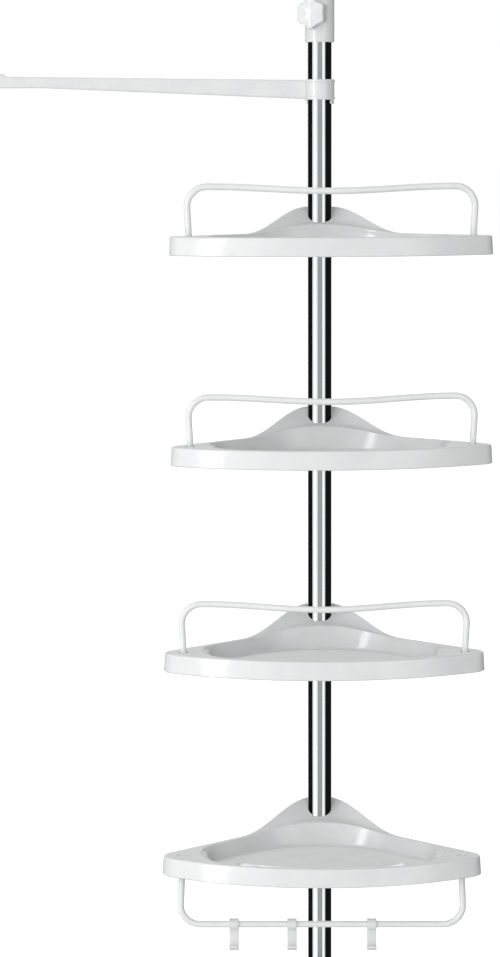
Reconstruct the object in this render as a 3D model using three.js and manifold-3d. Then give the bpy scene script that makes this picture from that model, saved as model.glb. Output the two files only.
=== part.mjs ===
// Corner shower caddy on a floor-to-ceiling tension pole.
//
// Millimetres, +Z up. The origin is the centre of the floor foot's underside, on the pole's axis.
// The trays point towards -Y, into the shower, and the room's corner is behind the pole, at +Y.

import * as THREE from 'three';
import { mergeVertices } from 'three/addons/utils/BufferGeometryUtils.js';
import Module from 'manifold-3d';

const wasm = await Module();
wasm.setup();

// ---------------------------------------------------------------- driving dimensions (mm, degrees)

const GAP = 0.3;                  // free space between pieces that touch
const ROUND = 18;                 // sides of a turned piece
const SMALL_ROUND = 10;           // sides of a small hole or screw

const TRAY_COUNT = 4;
const LOWEST_RIM = 240;           // height of the lowest tray's rim
const TRAY_PITCH = 210;           // from one rim to the next
const TRAY_TURN = [0.8, 1.8, 4.8, 4.6]; // each tray's turn on the pole, lowest first

const POLE_RADIUS = 12.5;
const TUBE_WALL = 1.2;
const SPIGOT_WALL = 1.1;
const SPIGOT_REACH = 32;          // how far a coupler goes into each tube
const FLANGE_RADIUS = 15.5;
const FLANGE_HEIGHT = 3;

const FOOT_RADIUS = 31;
const FOOT_HEIGHT = 30;
const PAD_HEIGHT = 4;
const SOCKET_FLOOR = 11;          // height of the bottom tube's lower end

const INNER_RADIUS = 9.5;
const INNER_WALL = 1.2;
const INNER_BOTTOM = 60;
const INNER_TOP = 1158;

const COLLAR_RADIUS = 15.3;
const COLLAR_BOTTOM = 1066.5;
const COLLAR_HEIGHT = 56;
const COLLAR_GRIP = 20;           // how deep the outer tube goes into the collar
const KNOB_HEIGHT = 1095.5;
const KNOB_TURN = 21;             // the clamp points this far to the left of straight forward
const KNOB_FLATS = 29.2;          // across the flats
const KNOB_INNER = 16.6;          // distances along the clamp's axis, from the pole's axis
const KNOB_OUTER = 29.8;
const SCREW_RADIUS = 3;
const SHOE_LENGTH = 4.5;

const ARM_MIDDLE = 1017.8;
const ARM_RING_HEIGHT = 21;
const ARM_RING_RADIUS = 15.9;
const ARM_LENGTH = 337.5;
const ARM_THICKNESS = 9;
const CLIP_HEIGHT = 4;
const CLIP_RADIUS = 14.9;
const CLIP_OPENING = 160;         // degrees
const CLIP_TURN = -116;           // degrees from +X to the middle of the opening

const TRAY_HEIGHT = 19;
const TRAY_WALL = 2.5;
const TRAY_APEX_RADIUS = 16.3;    // rounding at the back, round the pole
const TRAY_CORNER_RADIUS = 19;
const FRONT_RADIUS = 270;         // the curved front edge
const FRONT_CENTRE = 60;          // y of that curve's centre
const RIM_WIDTH = 7;
const BASIN_DEPTH = 16;
const BASIN_FLOOR = 2.2;
const BASIN_END_RADIUS = 58;
const BASIN_REAR_RADIUS = 104;
const HUMP_HEIGHT = 28;
const HUMP_TOP_WIDTH = 14;        // the hump is level this far each side of the pole's axis
const HUMP_HALF_WIDTH = 84;
const HUMP_FRONT_SHARE = 0.27;    // height left where the hump meets the basin
const SLOT_CENTRE = 5;            // y of the centre of the drain slots' arcs
const SLOT_START = 142;           // radius of the first drain slot's rear edge
const SLOT_WIDTH = 12;
const SLOT_PITCH = 20;
const SLOT_COUNT = 3;
const SLOT_HALF_ANGLE = 33;

const WIRE_RADIUS = 3.25;
const WIRE_SIDES = 7;
const WIRE_STEPS = 34;
const BEND_RADIUS = 20;
const LEG_SPLAY = 1.5;            // the rails are this much wider at their bends, each side
const GUARD_HEIGHT = 49.2;        // wire centre above the rim
const GUARD_DEPTH = 15;           // how far the guard rail's ends go down into the tray
const GUARD_DIP = 4.3;            // the top run sags this much in the middle
const GUARD_BOW = 13;             // and bows this much forward
const HOOK_RAIL_DROP = 72;        // wire centre below the rim
const WIRE_END_DROP = 2.6;        // the hook rail's ends stop this far under the rim
const HOOK_PLACES = [-89.8, -30.5, 51];
const HOOK_WIDTH = 9.6;
const HOOK_WALL = 2.2;
const HOOK_STRIP = 20;            // from the wire's centre down to the curl's centre
const HOOK_CURL = 6.7;            // outer radius of the curl

const CUP_RADIUS = 30;
const CUP_HEIGHT = 17;
const CUP_LIFT = 16;              // spring travel shown open between inner tube and cup
const STEM_RADIUS = 6.4;
const SPRING_WIRE = 1.3;
const SPRING_TURNS = 5;
const TURN_STEPS = 9;             // straight steps in one turn of the spring

const WHITE_PLASTIC = { color: 0xe9eaeb, roughness: 0.25, metalness: 0 };
const WHITE_WIRE = { color: 0xf2f3f4, roughness: 0.35, metalness: 0 };
const BRIGHT_STEEL = { color: 0xc9ccd0, roughness: 0.12, metalness: 1 };
const PLAIN_STEEL = { color: 0x9ea2a6, roughness: 0.4, metalness: 1 };
const GREY_RUBBER = { color: 0x8d9093, roughness: 0.8, metalness: 0 };

// ---------------------------------------------------------------- solids

const group = new THREE.Group();

function toSolid(geometry) {
  const bare = geometry.index ? geometry.clone() : geometry;
  bare.deleteAttribute('normal');
  bare.deleteAttribute('uv');
  const merged = mergeVertices(bare, 1e-4);
  const corners = merged.index.array;
  const kept = [];
  for (let i = 0; i < corners.length; i += 3) {
    const [a, b, c] = [corners[i], corners[i + 1], corners[i + 2]];
    if (a !== b && b !== c && c !== a) kept.push(a, b, c);
  }
  return new wasm.Manifold(new wasm.Mesh({
    numProp: 3,
    vertProperties: new Float32Array(merged.attributes.position.array),
    triVerts: new Uint32Array(kept),
  }));
}

function toGeometry(solid) {
  const mesh = solid.getMesh();
  const geometry = new THREE.BufferGeometry();
  geometry.setAttribute('position', new THREE.BufferAttribute(mesh.vertProperties, 3));
  geometry.setIndex(new THREE.BufferAttribute(mesh.triVerts, 1));
  geometry.computeVertexNormals();
  return geometry;
}

function addPiece(name, solid, material, parent = group) {
  const piece = new THREE.Mesh(toGeometry(solid), new THREE.MeshStandardMaterial(material));
  piece.name = name;
  parent.add(piece);
  return piece;
}

// A closed [radius, height] outline, listed counter-clockwise, turned about +Z.
function turned(outline, sides = ROUND) {
  const points = outline.map(([radius, height]) => new THREE.Vector2(radius, height));
  const onAxis = outline[0][0] === 0;
  if (!onAxis) points.push(points[0].clone());
  const lathe = new THREE.LatheGeometry(points, sides);
  lathe.rotateX(Math.PI / 2);
  return toSolid(lathe);
}

function ring(inner, outer, bottom, top, sides = ROUND) {
  return turned([[inner, bottom], [outer, bottom], [outer, top], [inner, top]], sides);
}

function rod(radius, bottom, top, sides = ROUND) {
  return turned([[0, bottom], [radius, bottom], [radius, top], [0, top]], sides);
}

function prism(shape, bottom, top, curveSegments = 4) {
  const solid = new THREE.ExtrudeGeometry(shape, {
    depth: top - bottom, bevelEnabled: false, curveSegments,
  });
  solid.translate(0, 0, bottom);
  return toSolid(solid);
}

// A flat outline in the XZ plane, given as [x, z] points, as thick as asked along Y.
function plate(points, thickness) {
  const shape = new THREE.Shape(points.map(([x, z]) => new THREE.Vector2(x, z)));
  const solid = new THREE.ExtrudeGeometry(shape, { depth: thickness, bevelEnabled: false });
  solid.rotateX(Math.PI / 2);
  solid.translate(0, thickness / 2, 0);
  return toSolid(solid);
}

// A wire of round section along a path.
function wire(path, radius, steps, sides = WIRE_SIDES) {
  const section = new THREE.Shape();
  for (let i = 0; i < sides; i += 1) {
    const angle = (2 * Math.PI * i) / sides;
    const point = [radius * Math.cos(angle), radius * Math.sin(angle)];
    if (i === 0) section.moveTo(...point);
    else section.lineTo(...point);
  }
  return toSolid(new THREE.ExtrudeGeometry(section, { steps, extrudePath: path, bevelEnabled: false }));
}

// ---------------------------------------------------------------- pole

const tubeBore = POLE_RADIUS - TUBE_WALL;
const spigotRadius = tubeBore - GAP;
const spigotBore = spigotRadius - SPIGOT_WALL;
const collarTubeTop = COLLAR_BOTTOM + COLLAR_GRIP;

function rimHeight(tray) {
  return LOWEST_RIM + tray * TRAY_PITCH;
}

// The flange between two tubes, right under a tray's hub.
function flangeTop(tray) {
  return rimHeight(tray) - TRAY_HEIGHT - GAP;
}

function addPole() {
  let bottom = SOCKET_FLOOR;
  for (let i = 0; i <= TRAY_COUNT; i += 1) {
    const top = i < TRAY_COUNT ? flangeTop(i) - FLANGE_HEIGHT - GAP : collarTubeTop;
    addPiece(`pole_section_${i + 1}`, ring(tubeBore, POLE_RADIUS, bottom, top), BRIGHT_STEEL);
    bottom = top + FLANGE_HEIGHT + 2 * GAP;
  }
}

function addCouplers() {
  for (let i = 0; i < TRAY_COUNT; i += 1) {
    const top = flangeTop(i);
    const bottom = top - FLANGE_HEIGHT;
    addPiece(`pole_coupler_${i + 1}`, turned([
      [spigotBore, bottom - SPIGOT_REACH],
      [spigotRadius, bottom - SPIGOT_REACH],
      [spigotRadius, bottom],
      [FLANGE_RADIUS, bottom],
      [FLANGE_RADIUS, top],
      [spigotRadius, top],
      [spigotRadius, top + SPIGOT_REACH],
      [spigotBore, top + SPIGOT_REACH],
    ]), WHITE_PLASTIC);
  }
}

function addFoot() {
  const lip = FOOT_RADIUS - 2;
  addPiece('floor_pad', rod(FOOT_RADIUS, 0, PAD_HEIGHT), GREY_RUBBER);
  addPiece('floor_foot', turned([
    [8, PAD_HEIGHT + GAP],
    [lip, PAD_HEIGHT + GAP],
    [lip, PAD_HEIGHT + 5],
    [22, PAD_HEIGHT + 9],
    [17, FOOT_HEIGHT - 9],
    [15.6, FOOT_HEIGHT],
    [POLE_RADIUS + GAP, FOOT_HEIGHT],
    [POLE_RADIUS + GAP, SOCKET_FLOOR - GAP],
    [8, SOCKET_FLOOR - GAP],
  ]), WHITE_PLASTIC);
}

// ---------------------------------------------------------------- trays

// A corner outline: an arc at the back, two 45 degree edges, two round ends and a curved front,
// each arc tangent to its neighbours. inset moves the whole outline inwards.
function cornerOutline(backCentre, backRadius, endRadius, frontRadius, inset) {
  const sum = backCentre + Math.SQRT2 * (backRadius - endRadius) - FRONT_CENTRE;
  const reach = frontRadius - endRadius;
  const endX = (sum + Math.sqrt(2 * reach * reach - sum * sum)) / 2;
  const endY = sum - endX + FRONT_CENTRE;
  const turn = Math.atan2(endY - FRONT_CENTRE, endX);
  const shape = new THREE.Shape();
  shape.absarc(endX, endY, endRadius - inset, turn, Math.PI / 4, false);
  shape.absarc(0, backCentre, backRadius - inset, Math.PI / 4, 3 * Math.PI / 4, false);
  shape.absarc(-endX, endY, endRadius - inset, 3 * Math.PI / 4, Math.PI - turn, false);
  shape.absarc(0, FRONT_CENTRE, frontRadius - inset, Math.PI - turn, 2 * Math.PI + turn, false);
  return { shape, endX, endY };
}

const basinBackCentre = Math.SQRT2 * (TRAY_APEX_RADIUS - RIM_WIDTH - BASIN_REAR_RADIUS);

function trayOutline(inset) {
  return cornerOutline(0, TRAY_APEX_RADIUS, TRAY_CORNER_RADIUS, FRONT_RADIUS, inset);
}

function basinOutline(inset) {
  return cornerOutline(
    basinBackCentre, BASIN_REAR_RADIUS, BASIN_END_RADIUS, FRONT_RADIUS - RIM_WIDTH, inset,
  );
}

const railFoot = trayOutline(0);

// The y of the back edge of an outline at a given x.
function backEdge(x, centre, radius) {
  const side = Math.abs(x);
  if (side < radius / Math.SQRT2) return centre + Math.sqrt(radius * radius - side * side);
  return centre + Math.SQRT2 * radius - side;
}

// Hump height: a flat-topped bell across the tray that falls steeply, then gently, towards the basin.
function humpHeight(x, along) {
  const across = (Math.abs(x) - HUMP_TOP_WIDTH) / (HUMP_HALF_WIDTH - HUMP_TOP_WIDTH);
  const bell = Math.cos(THREE.MathUtils.clamp(across, 0, 1) * Math.PI / 2) ** 2;
  const fall = HUMP_FRONT_SHARE + (1 - HUMP_FRONT_SHARE) * (1 - along) ** 2;
  return HUMP_HEIGHT * bell * fall;
}

// A closed block under the hump's surface, lowered by drop, with a flat base.
function humpBlock(drop, base) {
  const columns = 12;
  const rows = [-0.1, 0, 0.2, 0.5, 1.1];
  const points = [];
  for (const level of ['top', 'base']) {
    for (let i = 0; i <= columns; i += 1) {
      const x = HUMP_HALF_WIDTH * (2 * i / columns - 1);
      const back = backEdge(x, 0, TRAY_APEX_RADIUS);
      const front = backEdge(x, basinBackCentre, BASIN_REAR_RADIUS);
      for (const along of rows) {
        const height = humpHeight(x, Math.min(1, Math.max(0, along))) - drop;
        points.push(x, back + (front - back) * along, level === 'top' ? height : base);
      }
    }
  }
  const wide = rows.length;
  const half = (columns + 1) * wide;
  const faces = [];
  const quad = (a, b, c, d) => faces.push(a, b, c, a, c, d);
  for (let i = 0; i < columns; i += 1) {
    for (let j = 0; j < wide - 1; j += 1) {
      const at = i * wide + j;
      quad(at, at + 1, at + wide + 1, at + wide);
      quad(half + at, half + at + wide, half + at + wide + 1, half + at + 1);
    }
    const [near, far] = [i * wide, i * wide + wide - 1];
    quad(near, near + wide, half + near + wide, half + near);
    quad(far, half + far, half + far + wide, far + wide);
  }
  for (let j = 0; j < wide - 1; j += 1) {
    const last = columns * wide + j;
    quad(j, half + j, half + j + 1, j + 1);
    quad(last, last + 1, half + last + 1, half + last);
  }
  const geometry = new THREE.BufferGeometry();
  geometry.setAttribute('position', new THREE.BufferAttribute(new Float32Array(points), 3));
  geometry.setIndex(faces);
  return toSolid(geometry);
}

function drainSlot(index) {
  const inner = SLOT_START + index * SLOT_PITCH;
  const half = THREE.MathUtils.degToRad(SLOT_HALF_ANGLE);
  const shape = new THREE.Shape();
  shape.absarc(0, SLOT_CENTRE, inner, -Math.PI / 2 - half, -Math.PI / 2 + half, false);
  shape.absarc(0, SLOT_CENTRE, inner + SLOT_WIDTH, -Math.PI / 2 + half, -Math.PI / 2 - half, true);
  return prism(shape, -2 * TRAY_HEIGHT, 0, 3);
}

function traySolid() {
  const high = HUMP_HEIGHT + 10;
  const low = -TRAY_HEIGHT - 5;
  const outside = prism(trayOutline(0).shape, low, high);
  const inside = prism(trayOutline(TRAY_WALL).shape, low, high);
  const hump = humpBlock(0, -1).intersect(outside);
  const shell = prism(trayOutline(0).shape, -TRAY_HEIGHT, 0).add(hump);
  const tub = prism(basinOutline(-BASIN_FLOOR).shape, -BASIN_DEPTH - BASIN_FLOOR, high);
  const feet = [-1, 1].map((side) => [side * railFoot.endX, railFoot.endY, 0]);

  let hollow = prism(trayOutline(TRAY_WALL).shape, low, -TRAY_WALL);
  hollow = hollow.add(humpBlock(TRAY_WALL, low).intersect(inside));
  hollow = hollow.subtract(tub).subtract(rod(TRAY_APEX_RADIUS, low, high));
  for (const foot of feet) hollow = hollow.subtract(rod(7, low, high, SMALL_ROUND).translate(foot));

  let solid = shell.subtract(hollow).subtract(prism(basinOutline(1).shape, -BASIN_DEPTH, high));
  solid = solid.subtract(rod(POLE_RADIUS + 0.4, low, high));
  for (let i = 0; i < SLOT_COUNT; i += 1) solid = solid.subtract(drainSlot(i));
  for (const foot of feet) {
    solid = solid.subtract(rod(WIRE_RADIUS + 0.45, low, high, SMALL_ROUND).translate(foot));
    solid = solid.subtract(rod(5, -2.2, high, SMALL_ROUND).translate(foot));
  }
  return solid;
}

// ---------------------------------------------------------------- wire rails

// A staple of wire: a leg at each end, two round bends and a run between them. The legs stand
// straight inside the tray, then splay a little. The run may dip and bow forward in the middle.
function railPath(legStart, runHeight, dip, bow) {
  const toRun = Math.sign(runHeight - legStart);
  const reach = railFoot.endX + LEG_SPLAY - BEND_RADIUS;
  const bendAt = (side, from, to) => {
    const points = [];
    for (let i = 0; i <= 8; i += 1) {
      const angle = THREE.MathUtils.degToRad(from + (to - from) * i / 8);
      points.push(new THREE.Vector3(
        side * (reach + BEND_RADIUS * Math.cos(angle)),
        railFoot.endY,
        runHeight - toRun * BEND_RADIUS * (1 - Math.sin(angle)),
      ));
    }
    return points;
  };
  const run = [];
  for (let i = 1; i < 12; i += 1) {
    const along = i / 6 - 1;
    const swell = Math.cos(along * Math.PI / 2) ** 2;
    run.push(new THREE.Vector3(along * reach, railFoot.endY - bow * swell, runHeight - dip * swell));
  }
  const leg = (side) => [legStart, legStart + toRun * (TRAY_HEIGHT - 1)].map(
    (height) => new THREE.Vector3(side * railFoot.endX, railFoot.endY, height),
  );
  const points = [
    ...leg(-1), ...bendAt(-1, 0, 90), ...run, ...bendAt(1, 90, 0), ...leg(1).reverse(),
  ];
  const path = new THREE.CurvePath();
  for (let i = 1; i < points.length; i += 1) path.add(new THREE.LineCurve3(points[i - 1], points[i]));
  return path;
}

// A spring clip over the wire with a strip down its back, curling forward and up at the bottom.
// The outline is drawn with x forward and y up, then extruded across the hook.
function hookSolid() {
  const bore = WIRE_RADIUS + 0.35;
  const outer = bore + HOOK_WALL;
  const curl = HOOK_CURL - HOOK_WALL;
  const curlCentre = curl - bore;
  const lip = -Math.PI / 3;
  const tip = 1.94 * Math.PI;
  const shape = new THREE.Shape();
  shape.moveTo(-outer, -HOOK_STRIP);
  shape.absarc(curlCentre, -HOOK_STRIP, HOOK_CURL, Math.PI, tip, false);
  shape.absarc(curlCentre, -HOOK_STRIP, curl, tip, Math.PI, true);
  shape.absarc(0, 0, bore, Math.PI, lip, true);
  shape.absarc(0, 0, outer, lip, Math.PI, false);
  const solid = new THREE.ExtrudeGeometry(shape, {
    depth: HOOK_WIDTH, bevelEnabled: false, curveSegments: 5,
  });
  solid.translate(0, 0, -HOOK_WIDTH / 2);
  solid.rotateX(Math.PI / 2);
  solid.rotateZ(-Math.PI / 2);
  return toSolid(solid);
}

function addTrays() {
  const tray = traySolid();
  const guard = wire(railPath(-GUARD_DEPTH, GUARD_HEIGHT, GUARD_DIP, GUARD_BOW), WIRE_RADIUS, WIRE_STEPS);
  const hanger = wire(railPath(-WIRE_END_DROP, -HOOK_RAIL_DROP, 0, 0), WIRE_RADIUS, WIRE_STEPS);
  for (let i = 0; i < TRAY_COUNT; i += 1) {
    const level = new THREE.Group();
    level.position.z = rimHeight(i);
    level.rotation.z = THREE.MathUtils.degToRad(TRAY_TURN[i]);
    group.add(level);
    addPiece(`tray_${i + 1}`, tray, WHITE_PLASTIC, level);
    if (i > 0) addPiece(`guard_rail_${i + 1}`, guard, WHITE_WIRE, level);
    else addHookRail(hanger, level);
  }
}

function addHookRail(hanger, level) {
  addPiece('hook_rail', hanger, WHITE_WIRE, level);
  ['left', 'right'].forEach((side, i) => {
    const cap = addPiece(`rail_cap_${side}`, rod(4.3, -1.9, -0.4, SMALL_ROUND), WHITE_PLASTIC, level);
    cap.position.set((2 * i - 1) * railFoot.endX, railFoot.endY, 0);
  });
  HOOK_PLACES.forEach((x, i) => {
    const hook = addPiece(`hook_${i + 1}`, hookSolid(), WHITE_PLASTIC, level);
    hook.position.set(x, railFoot.endY, -HOOK_RAIL_DROP);
  });
}

// ---------------------------------------------------------------- towel arm

function addArm() {
  const half = ARM_RING_HEIGHT / 2;
  const bore = rod(POLE_RADIUS + 0.4, -2 * half, 2 * half);
  const sleeve = rod(ARM_RING_RADIUS, -half, half);
  const bar = plate([
    [-POLE_RADIUS - 1, half - 0.6],
    [-POLE_RADIUS - 1, -half + 0.8],
    [-0.855 * ARM_LENGTH, 2.5],
    [-ARM_LENGTH + 2, 2.5],
    [-ARM_LENGTH, 4.5],
    [-ARM_LENGTH, 15.5],
    [-ARM_LENGTH + 1.5, 17.6],
    [-ARM_LENGTH + 7, 17.6],
    [-ARM_LENGTH + 10.5, 14.3],
  ], ARM_THICKNESS);
  const arm = addPiece('towel_arm', sleeve.add(bar).subtract(bore), WHITE_PLASTIC);
  arm.position.z = ARM_MIDDLE;
  addArmClip(ARM_MIDDLE - half - GAP);
}

// A snap ring that the arm rests on, open towards the front left.
function addArmClip(top) {
  const start = THREE.MathUtils.degToRad(CLIP_OPENING / 2);
  const end = 2 * Math.PI - start;
  const shape = new THREE.Shape();
  shape.absarc(0, 0, CLIP_RADIUS, start, end, false);
  shape.absarc(0, 0, POLE_RADIUS + GAP, end, start, true);
  const clip = addPiece('arm_clip', prism(shape, top - CLIP_HEIGHT, top, 10), WHITE_PLASTIC);
  clip.rotation.z = THREE.MathUtils.degToRad(CLIP_TURN);
}

// ---------------------------------------------------------------- clamp and telescope

function addClamp() {
  const clamp = new THREE.Group();
  clamp.position.z = KNOB_HEIGHT;
  clamp.rotation.z = THREE.MathUtils.degToRad(-KNOB_TURN);
  group.add(clamp);
  // Pieces on the clamp's axis are turned about Z, then laid along -Y.
  const lay = (solid) => solid.rotate([90, 0, 0]);

  const bottom = COLLAR_BOTTOM;
  const top = bottom + COLLAR_HEIGHT;
  const shell = turned([
    [POLE_RADIUS + GAP, bottom],
    [COLLAR_RADIUS - 0.6, bottom],
    [COLLAR_RADIUS, bottom + 1],
    [COLLAR_RADIUS, top - 2],
    [COLLAR_RADIUS - 2, top],
    [INNER_RADIUS + 0.4, top],
    [INNER_RADIUS + 0.4, collarTubeTop + GAP],
    [POLE_RADIUS + GAP, collarTubeTop + GAP],
  ]).translate([0, 0, -KNOB_HEIGHT]);
  const shaft = lay(rod(SCREW_RADIUS + GAP, 0, 2 * COLLAR_RADIUS, SMALL_ROUND));
  addPiece('lock_collar', shell.subtract(shaft), WHITE_PLASTIC, clamp);

  const shoeStart = INNER_RADIUS + GAP;
  const shoe = lay(rod(SCREW_RADIUS - 0.2, 0, shoeStart + SHOE_LENGTH, SMALL_ROUND))
    .subtract(rod(shoeStart, -10, 10));
  addPiece('pressure_shoe', shoe, PLAIN_STEEL, clamp);

  const screwStart = shoeStart + SHOE_LENGTH + GAP;
  const screwEnd = KNOB_OUTER - 4;
  addPiece('clamp_screw', lay(rod(SCREW_RADIUS, screwStart, screwEnd, SMALL_ROUND)), PLAIN_STEEL, clamp);

  const knob = knobSolid().subtract(rod(SCREW_RADIUS + GAP, 0, screwEnd + GAP, SMALL_ROUND));
  addPiece('clamp_knob', lay(knob), WHITE_PLASTIC, clamp);
}

// A hexagon with slightly hollow sides, a flat face up and down turned 30 degrees.
function knobSolid() {
  const corner = KNOB_FLATS / Math.sqrt(3);
  const shape = new THREE.Shape();
  for (let i = 0; i < 6; i += 1) {
    const from = Math.PI / 6 + (i * Math.PI) / 3;
    const middle = from + Math.PI / 6;
    const to = from + Math.PI / 3;
    const flat = KNOB_FLATS / 2 - 1.6;
    if (i === 0) shape.moveTo(corner * Math.cos(from), corner * Math.sin(from));
    shape.quadraticCurveTo(
      flat * Math.cos(middle), flat * Math.sin(middle), corner * Math.cos(to), corner * Math.sin(to),
    );
  }
  return prism(shape, KNOB_INNER, KNOB_OUTER, 4);
}

function addTelescope() {
  const bore = INNER_RADIUS - INNER_WALL;
  addPiece('inner_tube', ring(bore, INNER_RADIUS, INNER_BOTTOM, INNER_TOP), BRIGHT_STEEL);
  addPiece('inner_tube_plug', rod(bore - GAP, INNER_BOTTOM, INNER_BOTTOM + 8), WHITE_PLASTIC);

  const seatTop = INNER_TOP - 62;
  const seat = turned([
    [3, seatTop - 6], [bore - GAP, seatTop - 6], [bore - GAP, seatTop], [3, seatTop],
  ]);
  addPiece('spring_seat', seat, WHITE_PLASTIC);

  const cupBottom = INNER_TOP + CUP_LIFT;
  const cupTop = cupBottom + CUP_HEIGHT;
  const springTop = INNER_TOP - 24;
  const stemShoulder = INNER_TOP - 12;
  addPiece('spring_plunger', turned([
    [0, springTop + GAP],
    [bore - GAP, springTop + GAP],
    [bore - GAP, stemShoulder],
    [STEM_RADIUS, stemShoulder],
    [STEM_RADIUS, cupBottom + 10],
    [0, cupBottom + 10],
  ]), WHITE_PLASTIC);

  // The bush closes the tube's mouth and keeps the plunger in.
  addPiece('tube_mouth_bush', turned([
    [STEM_RADIUS + GAP, stemShoulder + GAP],
    [bore - GAP, stemShoulder + GAP],
    [bore - GAP, INNER_TOP + GAP],
    [INNER_RADIUS, INNER_TOP + GAP],
    [INNER_RADIUS, INNER_TOP + 2.5],
    [STEM_RADIUS + GAP, INNER_TOP + 2.5],
  ]), WHITE_PLASTIC);

  const coil = new THREE.CatmullRomCurve3(springPoints(seatTop + GAP, springTop));
  addPiece('tension_spring', wire(coil, SPRING_WIRE, SPRING_TURNS * TURN_STEPS, 5), PLAIN_STEEL);

  addPiece('ceiling_cup', turned([
    [STEM_RADIUS + GAP, cupBottom],
    [15.6, cupBottom],
    [17, cupBottom + 6],
    [CUP_RADIUS - 2, cupTop - 5],
    [CUP_RADIUS - 2, cupTop],
    [0, cupTop],
    [0, cupBottom + 10 + GAP],
    [STEM_RADIUS + GAP, cupBottom + 10 + GAP],
  ]), WHITE_PLASTIC);
  addPiece('ceiling_pad', rod(CUP_RADIUS, cupTop + GAP, cupTop + GAP + PAD_HEIGHT), GREY_RUBBER);
}

function springPoints(bottom, top) {
  const radius = INNER_RADIUS - INNER_WALL - SPRING_WIRE - GAP;
  const points = [];
  const count = SPRING_TURNS * TURN_STEPS;
  for (let i = 0; i <= count; i += 1) {
    const angle = (2 * Math.PI * i) / TURN_STEPS;
    const height = bottom + SPRING_WIRE + (top - bottom - 2 * SPRING_WIRE) * i / count;
    points.push(new THREE.Vector3(radius * Math.cos(angle), radius * Math.sin(angle), height));
  }
  return points;
}

// ---------------------------------------------------------------- assembly

addFoot();
addPole();
addCouplers();
addTrays();
addArm();
addClamp();
addTelescope();

export default group;
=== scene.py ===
"""Looks of a corner shower caddy: glossy white trays, white coated wire rails, a mirror-bright pole.

Every piece is a surface worked out with numpy in the CAD's own frame: metres, +Z up, the pole on the
Z axis and the trays towards -Y. Sizes are in millimetres and are turned to metres when a mesh is made.
"""

import bmesh
import bpy
import numpy as np
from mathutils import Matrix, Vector


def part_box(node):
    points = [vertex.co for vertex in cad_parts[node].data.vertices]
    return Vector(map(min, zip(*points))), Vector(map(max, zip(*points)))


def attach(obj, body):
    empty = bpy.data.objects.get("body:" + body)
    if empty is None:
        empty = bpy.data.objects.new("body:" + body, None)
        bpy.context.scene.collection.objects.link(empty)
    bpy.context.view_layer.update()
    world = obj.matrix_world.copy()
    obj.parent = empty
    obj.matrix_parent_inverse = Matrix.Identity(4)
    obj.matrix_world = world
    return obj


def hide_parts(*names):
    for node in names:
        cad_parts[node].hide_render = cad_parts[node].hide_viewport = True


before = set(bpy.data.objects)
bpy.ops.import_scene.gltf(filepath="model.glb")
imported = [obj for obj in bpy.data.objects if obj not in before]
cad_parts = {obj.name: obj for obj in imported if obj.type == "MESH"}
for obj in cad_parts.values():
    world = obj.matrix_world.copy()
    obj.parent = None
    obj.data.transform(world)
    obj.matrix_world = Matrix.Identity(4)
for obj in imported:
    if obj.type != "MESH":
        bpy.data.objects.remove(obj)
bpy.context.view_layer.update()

MM = 0.001
TURN = 2 * np.pi

# ---------------------------------------------------------------- sizes, in millimetres and degrees

POLE_RADIUS = 12.5
TUBE_WALL = 1.2
INNER_RADIUS = 9.5
INNER_BORE = 8.3
SPIGOT_RADIUS = 11.0
SPIGOT_BORE = 9.9
FLANGE_RADIUS = 15.5
COLLAR_RADIUS = 15.3
KNOB_TURN = 21
KNOB_FLATS = 29.2
SCREW_RADIUS = 3
ARM_RING_RADIUS = 15.9
ARM_LENGTH = 337.5
ARM_THICKNESS = 9
CLIP_RADIUS = 14.9
CLIP_OPENING = 160
CLIP_TURN = -116
TRAY_TURN = {1: 0.8, 2: 1.8, 3: 4.8, 4: 4.6}
TRAY_HEIGHT = 19
TRAY_WALL = 2.5
TRAY_APEX_RADIUS = 16.3
TRAY_CORNER_RADIUS = 19
FRONT_RADIUS = 270
FRONT_CENTRE = 60
RIM_WIDTH = 7
BASIN_DEPTH = 16
BASIN_FLOOR = 2.2
BASIN_END_RADIUS = 58
BASIN_REAR_RADIUS = 104
HUMP_HEIGHT = 28
HUMP_TOP_WIDTH = 14
HUMP_HALF_WIDTH = 84
HUMP_FRONT_SHARE = 0.27
SLOT_CENTRE = 5
SLOT_START = 142
SLOT_WIDTH = 12
SLOT_PITCH = 20
SLOT_COUNT = 3
SLOT_HALF_ANGLE = 33
WIRE_RADIUS = 3.25
BEND_RADIUS = 20
LEG_SPLAY = 1.5
GUARD_HEIGHT = 49.2
GUARD_DEPTH = 15
GUARD_DIP = 4.3
GUARD_BOW = 13
HOOK_RAIL_DROP = 72
WIRE_END_DROP = 2.6
HOOK_PLACES = {1: -89.8, 2: -30.5, 3: 51}
HOOK_WIDTH = 9.6
HOOK_WALL = 2.2
HOOK_STRIP = 20
HOOK_CURL = 6.7

SKY = 0.87
DARK_SIDE = 0.36
BELOW = 0.75
DARK_STUDIO = 0.008
WALL_BEHIND = 0.65
FLOOR_GLOW = 0.78

RIM = {i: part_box(f"tray_{i}")[0].z / MM + TRAY_HEIGHT for i in TRAY_TURN}


def span(node):
    """Lowest and highest height of a CAD node, in millimetres."""
    low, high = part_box(node)
    return low.z / MM, high.z / MM


# ---------------------------------------------------------------- meshes

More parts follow.
